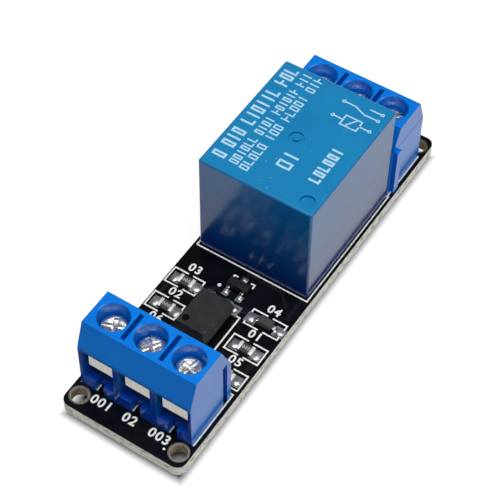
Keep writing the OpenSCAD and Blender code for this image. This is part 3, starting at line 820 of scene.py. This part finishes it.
@dataclass
class Board:
    """The circuit board: its laminate, bare rings, copper relief and white print."""

    finishes: Finishes
    ring_w: float = 0.2
    ring_t: float = 0.02
    lining_t: float = 0.04
    pad_w: float = 0.25
    pad_t: float = 0.03
    # Radius of the solder round a terminal block's pin and round a relay's pin
    block_solder_r: float = 1.15
    relay_solder_r: float = 1.0
    # From a relay pin node's outer side to the pin's middle
    pin_half: float = 0.25
    terminal_words: tuple[str, str, str] = ("001", "02", "003")
    word_h: float = 1.2
    small_word_h: float = 1.15

    def build(self) -> None:
        """Dresses the board and its solder, and builds what is on its faces."""
        self.finishes.dress(frame["nodes"]["circuit_board"], "board")
        self.finishes.dress(frame["nodes"]["solder_joints"], "solder")
        self.low, self.high = box("circuit_board")
        self.add_rings()
        self.add_pin_pads()
        self.add_relief()
        self.add_print()

    def add_rings(self) -> None:
        """Bare rings round the mounting holes, on both faces."""
        dims = frame["record"]["mounts"][0]["dims"]
        hole, thick = dims["hole_r_mm"], self.high.z - self.low.z
        half_x, half_y = dims["spacing_x_mm"] / 2, dims["spacing_y_mm"] / 2
        corners = [(sx * half_x, sy * half_y) for sx in SIDES for sy in SIDES]
        rings = [
            disc((x, y, z), hole + self.ring_w, self.ring_t, hole, 48)
            for x, y in corners
            for z in (self.high.z, self.low.z - self.ring_t)
        ]
        self.finishes.seat(merge(rings, "mounting_rings"), "ring", "solder")
        linings = [
            disc((x, y, self.low.z), hole, thick, hole - self.lining_t, 48) for x, y in corners
        ]
        self.finishes.seat(smooth(merge(linings, "hole_linings"), 40), "lining", "solder")

    def pin_places(self) -> list[tuple[float, float, float]]:
        """Each pin's middle and the radius of its solder, in millimetres."""
        places = []
        for end in End:
            for position in POSITIONS:
                mid = middle(f"{end.value}_clamp_{position}")
                places.append((mid.x, mid.y, self.block_solder_r))
        common = middle("relay_common_terminal")
        places.append((common.x, common.y, self.relay_solder_r))
        coil_low, coil_high = box("relay_coil_pins")
        coil_y = (coil_low.y + coil_high.y) / 2
        outer = [(x, coil_y) for x in (coil_low.x, coil_high.x)]
        for node, side in (("relay_open_terminal", 0), ("relay_closed_terminal", 1)):
            outer.append((box(node)[side].x, middle(node).y))
        for x, y in outer:
            places.append((x - math.copysign(self.pin_half, x), y, self.relay_solder_r))
        return places

    def add_pin_pads(self) -> None:
        """Tinned pads round the pins, under the board."""
        pads = [
            disc((x, y, self.low.z - self.pad_t), r + self.pad_w, self.pad_t, r * 0.6)
            for x, y, r in self.pin_places()
        ]
        self.finishes.seat(merge(pads, "pin_pads"), "pad", "solder")

    def add_relief(self) -> None:
        """Copper runs under the mask, as low raised bands on both faces."""
        places = [(x, y) for x, y, _ in self.pin_places()]
        inputs, (x_out, y_out), relay = places[:3], places[3], places[6:]
        common, _, coil, opened, closed = relay
        bands: list[Thing] = []

        def run(points: Sequence[Pair], width: float, face: float) -> None:
            """Lays one copper run along points, half sunk in a face of the board."""
            for a, b in zip(points, points[1:]):
                turn = math.degrees(math.atan2(b[1] - a[1], b[0] - a[0]))
                where = ((a[0] + b[0]) / 2, (a[1] + b[1]) / 2, face)
                thick = 0.048 + 0.004 * (len(bands) % 4)
                size = (math.dist(a, b) + width * 0.8, width, thick)
                bands.append(slab(where, size, turn, 0.008))

        top, under = self.high.z, self.low.z
        first, second, third = inputs
        run([opened, (-x_out, opened[1] + 3), (-x_out, y_out)], 2.4, under)
        run([closed, (x_out, closed[1] + 3), (x_out, y_out)], 2.4, under)
        run([common, (0, common[1] + 4), (0, y_out)], 2.6, under)
        run([first, (first[0], -12), (-7.4, -9), (-7.4, coil[1])], 0.9, under)
        run([second, (second[0], -16), (-1.6, -14.2)], 0.5, under)
        run([third, (third[0], -12.5), (2.2, -8.5), (1.2, -6.4)], 0.9, under)
        run([coil, (7.3, -1.5), (7.3, -5.2)], 0.5, top)
        run([(1.3, -8.3), (2.6, -7), (4.2, -7)], 0.4, top)
        run([(-3.6, -7.3), (-2.4, -6.1), (-1.2, -6)], 0.4, top)
        run([(-7.6, -9), (-7.6, -10.2)], 0.6, top)
        run([(7.4, -13.3), (7.4, -14.4)], 0.6, top)
        run([(0, -3.1), (0, -2.2), (4.6, -2.2), (6.2, -3.8)], 0.4, top)
        self.finishes.seat(merge(bands, "copper_relief"), "relief", "board_mask")

    def add_print(self) -> None:
        """White outlines, figures and dots on the upper face."""
        ink = Printer(self.high.z)
        cover_low, cover_high = box("relay_cover")
        front, side = cover_low.y - 0.28, cover_high.x + 0.2
        back = cover_high.y + 0.05
        ink.path((-side, back), (-side, front), (side, front), (side, back))
        for end in End:
            self.print_block(ink, end)
        self.print_rows(ink)
        self.print_coupler(ink)
        self.print_transistor(ink)
        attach(self.finishes.dress(ink.done("board_print"), "print"), BOARD_BODY)

    def print_block(self, ink: Printer, end: End) -> None:
        """The outline of a terminal block, with its figures.

        Args:
            ink: The sheet of marks.
            end: Which block.
        """
        low, high = box(f"{end.value}_terminal_housing")
        side = (high.x - low.x - 0.55) / 2 + 0.14
        out = -1 if end is End.INPUT else 1
        wire_y = low.y if out < 0 else high.y
        back_y = high.y if out < 0 else low.y
        for sx in SIDES:
            ink.line((sx * side, wire_y - out * 0.2), (sx * side, back_y - out * 0.1))
        ink.line((-side, back_y - out * 0.2), (side, back_y - out * 0.2))
        for position in POSITIONS:
            mid = middle(f"{end.value}_clamp_{position}")
            ink.bar((mid.x + out * 0.52, wire_y - out * 0.6), (0.15, 0.95))
            word_x = mid.x - out * (0.93, -0.2, -1.18)[position - 1]
            words = self.terminal_words[position - 1]
            turn = 0 if out < 0 else 180
            ink.words(words, (word_x, wire_y + out * 1.0), self.word_h, turn)
        hole_x = frame["record"]["mounts"][0]["dims"]["spacing_x_mm"] / 2
        ink.dot((hole_x - 1.65, wire_y + out * 2.0), 0.16)

    def print_rows(self, ink: Printer) -> None:
        """Boxes round the small parts, each with plain figures above it."""
        rows = (
            ("resistor_3", "03"), ("resistor_2", "02"), ("lamp_2", "06"),
            ("diode_body", "04"), ("resistor_1", "01"), ("lamp_1", "05"),
        )
        for node, words in rows:
            x, y, _ = middle(node)
            half, shift = (2.15, -0.3) if x < 0 else (2.33, -0.07)
            x, y = x + shift, y + 0.1
            ink.frame((x, y), (half, 1.17), (-0.3 if x < 0 else -0.42, 0.55 if x < 0 else 0.42))
            ink.words(words, (x + (0.06 if x < 0 else -0.12), y + 2.2), self.small_word_h)

    def print_coupler(self, ink: Printer) -> None:
        """Brackets beside the optocoupler."""
        low, high = box("optocoupler_body")
        for edge, inward in ((high.x + 0.6, -0.65), (low.x - 0.4, 0.3)):
            ink.path(
                (edge + inward, high.y + 0.2), (edge, high.y + 0.2),
                (edge, low.y - 0.2), (edge + inward, low.y - 0.2),
            )

    def print_transistor(self, ink: Printer) -> None:
        """Corner ticks and a dot round the transistor."""
        low, high = box("transistor_body")
        for x, out in ((low.x, 1), (high.x, -1)):
            ink.path((x + out * 0.45, high.y + 0.75), (x, high.y + 0.75), (x, high.y + 0.25))
        ink.dot((low.x - 0.75, low.y - 0.2), 0.24)


@dataclass
class TerminalBlocks:
    """Both screw terminal blocks, with their clamps, guards and screws."""

    finishes: Finishes
    housing_round: float = 0.1
    clamp_round: float = 0.06
    guard_round: float = 0.05
    screw_round: float = 0.05

    def build(self) -> None:
        """Builds both blocks."""
        for end in End:
            name = end.value
            node = f"{name}_terminal_housing"
            housing = softened(node, f"{name}_housing", self.housing_round, 3)
            self.finishes.seat(housing, "housing", "terminal_plastic")
            for position in POSITIONS:
                self.build_terminal(name, position)

    def build_terminal(self, name: str, position: int) -> None:
        """Builds one terminal's metal parts.

        Args:
            name: The block's name.
            position: Which terminal.
        """
        parts = (
            ("clamp", "cage", self.clamp_round, "clamp", "clamp_metal", None),
            ("wire_guard", "flap", self.guard_round, "guard", "guard_sheet", "guard"),
            ("screw", "bolt", self.screw_round, "screw", "screw_steel", "screw"),
        )
        for node, word, width, finish, slot, moves in parts:
            piece = softened(f"{name}_{node}_{position}", f"{name}_{word}_{position}", width)
            body = f"{name}_{moves}_{position}" if moves else BOARD_BODY
            self.finishes.seat(piece, finish, slot, body)


@dataclass
class Relay:
    """The sealed relay: its cover with print, and the works inside it."""

    finishes: Finishes
    print_t: float = 0.012
    # Share of a shape's width that is left free between groups
    group_gap: float = 0.8

    def build(self) -> None:
        """Builds the relay."""
        for finish, nodes in (
            ("cover", ("cover",)),
            ("base", ("base",)),
            ("bobbin", ("bobbin",)),
            ("winding", ("winding",)),
            ("iron", ("core", "yoke", "armature")),
            ("spring", ("contact_blade",)),
            ("silver", ("moving_contact", "fixed_contacts")),
            ("pin", ("common_terminal", "open_terminal", "closed_terminal", "coil_pins")),
        ):
            for node in nodes:
                self.finishes.dress(frame["nodes"][f"relay_{node}"], finish)
        self.print_top()

    def print_top(self) -> None:
        """Rows of plain printed bars on top of the cover, like lines of words."""
        low, high = box("relay_cover")
        ink = Printer(high.z, 0.2, self.print_t)
        draw = random.Random(7)

        def glyph(x: float, y: float, tall: float, long: float, kind: int) -> None:
            """One made-up printed shape: tall across the board, long along it."""
            bar = 0.3 if tall > 1.3 else 0.2
            side, end = (long - bar) / 2, (tall - bar) / 2
            parts = (
                [(0, 0, tall, bar)],
                [(0, -side, tall, bar), (0, side, tall, bar), (end, 0, bar, long), (-end, 0, bar, long)],
                [(0, -side, tall, bar), (end, 0, bar, long)],
                [(0, 0, bar, long), (0, -side, tall, bar)],
            )[kind]
            for dx, dy, w, l in parts:
                ink.bar((x + dx, y + dy), (w, l))

        def row(x: float, start: float, stop: float, tall: float, groups: Sequence[int]) -> None:
            """One row of shapes along the board, in groups."""
            long = tall * 0.62
            total = sum(groups) + self.group_gap * (len(groups) - 1)
            step = (start - stop) / total
            y = start - step / 2
            for size in groups:
                for _ in range(size):
                    glyph(x, y, tall, min(long, step * 0.74), draw.choice((0, 1, 2, 3, 1, 2)))
                    y -= step
                y -= self.group_gap * step

        row(low.x + 1.6, high.y - 0.8, low.y + 1.6, 1.8, (3, 6, 3, 1))
        row(low.x + 3.65, high.y - 0.6, low.y + 1.7, 1.2, (3, 6, 4, 6))
        row(low.x + 5.15, high.y - 0.4, low.y + 1.5, 1.2, (3, 5, 3, 5))
        self.print_scheme(ink, high)
        row(high.x - 2.6, (low.y + high.y) / 2 + 0.8, low.y + 4.3, 1.45, (6,))
        row(low.x + 8.8, low.y + 7.1, low.y + 4.1, 1.9, (2,))
        self.finishes.seat(ink.done("relay_print"), "relay_print", "relay_cover_plastic")

    def print_scheme(self, ink: Printer, high: Vector) -> None:
        """A plain wiring scheme: a coil box, two contacts and their leads.

        Args:
            ink: The sheet of marks.
            high: The cover's highest corner.
        """
        x, y = high.x - 3.6, high.y - 4.6
        half, tall, out = 1.1, 0.8, 2.3
        left, right = x - half, x + half
        box_corners = [(left, y - tall), (right, y - tall), (right, y + tall), (left, y + tall)]
        ink.path(*box_corners, box_corners[0])
        ink.line((x - 0.5, y - tall), (x + 0.5, y + tall))
        ink.line((left, y), (x - out, y))
        ink.line((right, y), (x + out, y))
        ink.path((x - out, y + 2.6), (x - 0.9, y + 2.6), (x + 0.8, y + 1.9))
        for rise in (3.1, 2.0):
            ink.line((x + 0.9, y + rise), (x + out, y + rise))
        for side, rise in ((-1, 0), (1, 0), (-1, 2.6), (1, 3.1), (1, 2.0)):
            ink.dot((x + side * 2.5, y + rise), 0.26, 0.1)


@dataclass
class SmallParts:
    """The surface-mounted parts with their pads and solder."""

    finishes: Finishes
    pad_t: float = 0.035
    chip_pad: Pair = (1.3, 1.5)
    chip_pad_out: float = 1.45
    dot_from_corner: Pair = (1.15, 1.35)
    figure_h: float = 0.45

    def build(self) -> None:
        """Builds every small part."""
        self.top = box("circuit_board")[1].z
        self.pads: list[Thing] = []
        self.lumps: list[Thing] = []
        for number in (1, 2, 3):
            self.soften(f"resistor_{number}", f"resistor_chip_{number}", 0.03, "chip", "resistor_body")
            self.solder_chip(f"resistor_{number}", number)
        for number in (1, 2):
            self.soften(f"lamp_{number}", f"lamp_chip_{number}", 0.05, "lamp", "lamp_resin")
            self.solder_chip(f"lamp_{number}", number + 3)
        for node, name, width, finish, slot in (
            ("resistor_end_caps", "resistor_ends", 0.02, "cap", "tinned_lead"),
            ("lamp_end_caps", "lamp_ends", 0.02, "cap", "tinned_lead"),
            ("optocoupler_body", "coupler_body", 0.13, "moulding", "black_moulding"),
            ("optocoupler_leads", "coupler_leads", 0.04, "lead", "tinned_lead"),
            ("transistor_body", "switch_body", 0.04, "dark_moulding", "black_moulding"),
            ("transistor_leads", "switch_leads", 0.02, "lead", "tinned_lead"),
            ("diode_body", "diode_block", 0.05, "diode", "black_moulding"),
            ("diode_leads", "diode_ends", 0.02, "lead", "tinned_lead"),
        ):
            self.soften(node, name, width, finish, slot)
        self.add_dot()
        self.print_figures()
        self.solder_leads()
        self.finishes.seat(merge(self.pads, "surface_pads"), "pad", "solder")
        lumps = merge(self.lumps, "solder_lumps")
        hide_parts("surface_solder")
        self.finishes.seat(lumps, "solder", "solder")

    def soften(self, node: str, name: str, width: float, finish: str, slot: str) -> None:
        """Rounds a node's edges and dresses it."""
        self.finishes.seat(softened(node, name, width), finish, slot)

    def print_figures(self) -> None:
        """Prints plain figures on the resistors."""
        ink = Printer(box("resistor_1")[1].z, 0.05, 0.008)
        for number in (1, 2, 3):
            ink.words("000", middle(f"resistor_{number}")[:2], self.figure_h)
        self.finishes.seat(ink.done("resistor_figures"), "figures", "resistor_body")

    def add_dot(self) -> None:
        """Darkens the floor of the optocoupler's round mark."""
        low, high = box("optocoupler_body")
        where = (low.x + self.dot_from_corner[0], low.y + self.dot_from_corner[1], high.z - 0.29)
        dot = settle(disc(where, 0.44, 0.02, 0, 32), "coupler_dot")
        self.finishes.seat(dot, "dot", "black_moulding")

    def pad(self, centre: Pair, size: Pair) -> None:
        """Lays one tinned pad."""
        where = (centre[0], centre[1], self.top + self.pad_t / 2)
        self.pads.append(slab(where, (size[0], size[1], self.pad_t), 0, 0.012))

    def lump(self, centre: Pair, size: Triple, seed: int) -> None:
        """Lays one lump of solder."""
        self.lumps.append(blob((centre[0], centre[1], self.top), size, seed))

    def solder_chip(self, node: str, seed: int) -> None:
        """Lays the pads and solder of one chip.

        Args:
            node: The chip's CAD node.
            seed: Which random lumps it gets.
        """
        mid = middle(node)
        for side in SIDES:
            x = mid.x + side * self.chip_pad_out
            self.pad((x, mid.y), self.chip_pad)
            self.lump((x + side * 0.06, mid.y), (1.1, 1.35, 0.2), seed * 2 + side)

    def solder_leads(self) -> None:
        """Lays the pads and solder of the leaded parts."""
        low, high = box("optocoupler_leads")
        for i, x in enumerate((low.x + 0.3, high.x - 0.2)):
            for j, y in enumerate((low.y + 0.3, high.y - 0.4)):
                self.pad((x, y), (1.7, 1.6))
                self.lump((x, y), (1.55, 1.3, 0.42), 20 + 2 * i + j)
        low, high = box("transistor_leads")
        spots = ((low.x + 0.22, low.y), (high.x - 0.22, low.y), ((low.x + high.x) / 2, high.y))
        for i, (x, y) in enumerate(spots):
            self.pad((x, y), (0.8, 0.95))
            self.lump((x, y), (0.75, 0.85, 0.32), 30 + i)
        low, high = box("diode_leads")
        for i, x in enumerate((low.x, high.x)):
            y, out = (low.y + high.y) / 2, (-0.35, 0.35)[i]
            self.pad((x + out, y), (1.5, 1.5))
            self.lump((x + out, y), (1.25, 1.2, 0.22), 40 + i)


@dataclass(frozen=True)
class SoftBox:
    """A square lamp aimed at the object."""

    name: str
    toward: Triple
    distance: float
    size: float
    level: float

    def build(self, aim: Vector) -> None:
        """Adds the lamp.

        Args:
            aim: The point that it faces, in metres.
        """
        data = bpy.data.lights.new(self.name, "AREA")
        data.shape = "SQUARE"
        data.size = self.size
        data.energy = self.level * math.pi**2 * self.distance**2
        lamp = bpy.data.objects.new(self.name, data)
        bpy.context.scene.collection.objects.link(lamp)
        way = Vector(self.toward).normalized()
        lamp.location = aim + way * self.distance
        lamp.rotation_euler = way.to_track_quat("Z", "Y").to_euler()


@dataclass
class Studio:
    """A pale floor, a soft world, lamps and the camera."""

    place: Triple = (0.0617783, -0.1000097, 0.1567506)
    turn: Triple = (37.6947, -0.4188, 33.0900)
    lens: float = 114.784
    shift: Pair = (0.0097, -0.0051)
    sky: float = 0.1
    floor_grey: tuple[float, float, float, float] = (0.28, 0.28, 0.28, 1)
    floor_glow: float = 0.8
    floor_in_gloss: Pair = (0.1, 1.0)

    def build(self) -> None:
        """Builds the studio."""
        bpy.context.scene.view_settings.view_transform = "Standard"
        self.add_camera()
        self.add_world()
        self.add_floor()
        low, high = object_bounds()
        aim = (low + high) / 2
        boxes = (
            SoftBox("key", (0.08, -0.12, 1.0), 0.45, 0.28, 0.9),
            SoftBox("side", (1.0, 0.15, 0.3), 0.45, 0.3, 0.3),
            SoftBox("front", (-0.33, -1.0, 0.3), 0.45, 0.24, 0.06),
        )
        for lamp in boxes:
            lamp.build(aim)

    def add_camera(self) -> None:
        """Adds the camera."""
        data = bpy.data.cameras.new("camera")
        data.sensor_width = 36
        data.lens = self.lens
        data.shift_x, data.shift_y = self.shift
        data.clip_start, data.clip_end = 0.01, 20
        camera = bpy.data.objects.new("camera", data)
        bpy.context.scene.collection.objects.link(camera)
        camera.location = self.place
        camera.rotation_euler = Euler([math.radians(a) for a in self.turn])
        bpy.context.scene.camera = camera

    def add_world(self) -> None:
        """Adds a soft world that is white behind the object."""
        world = bpy.context.scene.world = bpy.data.worlds.new("studio")
        world.use_nodes = True
        nodes = Nodes(world.node_tree)
        seen = nodes.sums("MAXIMUM", nodes.add("LightPath").outputs["Is Camera Ray"], self.sky)
        light = nodes.add("Background", {"Strength": seen})
        nodes.add("OutputWorld", {"Surface": light.outputs["Background"]})

    def painted_board_shadow(self, nodes: Nodes, value: Socket) -> Socket:
        """Keeps a value round the board, and drops it to 0 under the board, which paints the board's
        shadow on the floor.

        Args:
            nodes: The floor material's nodes.
            value: The value to keep.

        Returns:
            The value with the board's footprint taken out.
        """
        high = box("circuit_board")[1]
        beyond = [
            nodes.ramp(nodes.sums("ABSOLUTE", nodes.along(axis)), half - 0.8, half + 0.4)
            for axis, half in (("X", high.x), ("Y", high.y))
        ]
        return nodes.sums("MULTIPLY", nodes.sums("MAXIMUM", *beyond), value)

    def mirrored(self, nodes: Nodes) -> Socket:
        """How bright gloss sees the floor: dim in front of the input end, bright elsewhere, and dark
        under the board as painted shadow.

        Args:
            nodes: The floor material's nodes.

        Returns:
            The brightness.
        """
        front = box("circuit_board")[0].y
        dim, bright = self.floor_in_gloss
        rise = nodes.ramp(nodes.along("Y"), front - 1, front + 6, bright - dim)
        return self.painted_board_shadow(nodes, nodes.sums("ADD", rise, dim))

    def add_floor(self) -> None:
        """Adds the floor under the pins' tails: white to the camera, and open from below."""
        clear()
        bpy.ops.mesh.primitive_plane_add(size=4, location=(0, 0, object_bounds()[0].z))
        floor = bpy.context.object
        floor.name = "floor"
        material = bpy.data.materials.new("floor")
        material.use_nodes = True
        nodes = Nodes(material.node_tree)
        rays = nodes.add("LightPath").outputs

        def mix(factor: Socket, a: bpy.types.Node, b: bpy.types.Node) -> bpy.types.Node:
            """Mixes two shaders: 0 gives the first, and 1 gives the second."""
            return nodes.add("MixShader", {0: factor, 1: a.outputs[0], 2: b.outputs[0]})

        matt = nodes.add("BsdfDiffuse", {"Color": self.floor_grey})
        # Painted shadow: the glow that the camera sees is taken out of the floor under the board
        glow = nodes.sums("MULTIPLY", self.painted_board_shadow(nodes, rays["Is Camera Ray"]), self.floor_glow)
        seen = nodes.add("Emission", {"Strength": glow})
        both = nodes.add("AddShader", {0: matt.outputs[0], 1: seen.outputs[0]})
        mirror = nodes.add("Emission", {"Strength": self.mirrored(nodes)})
        upper = mix(rays["Is Glossy Ray"], both, mirror)
        below = nodes.add("NewGeometry").outputs["Backfacing"]
        surface = mix(below, upper, nodes.add("BsdfTransparent"))
        nodes.add("OutputMaterial", {"Surface": surface.outputs[0]})
        floor.data.materials.append(material)
        floor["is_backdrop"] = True


def main() -> None:
    """Builds the part and the studio, in order."""
    logging.basicConfig(level=logging.INFO, format="%(name)s: %(message)s")
    finishes = Finishes()
    for kind in (Board, TerminalBlocks, Relay, SmallParts):
        assembly = kind(finishes)
        assembly.build()
        LOG.info("built %s", type(assembly).__name__)
    Studio().build()


if __name__ == "__main__":
    main()
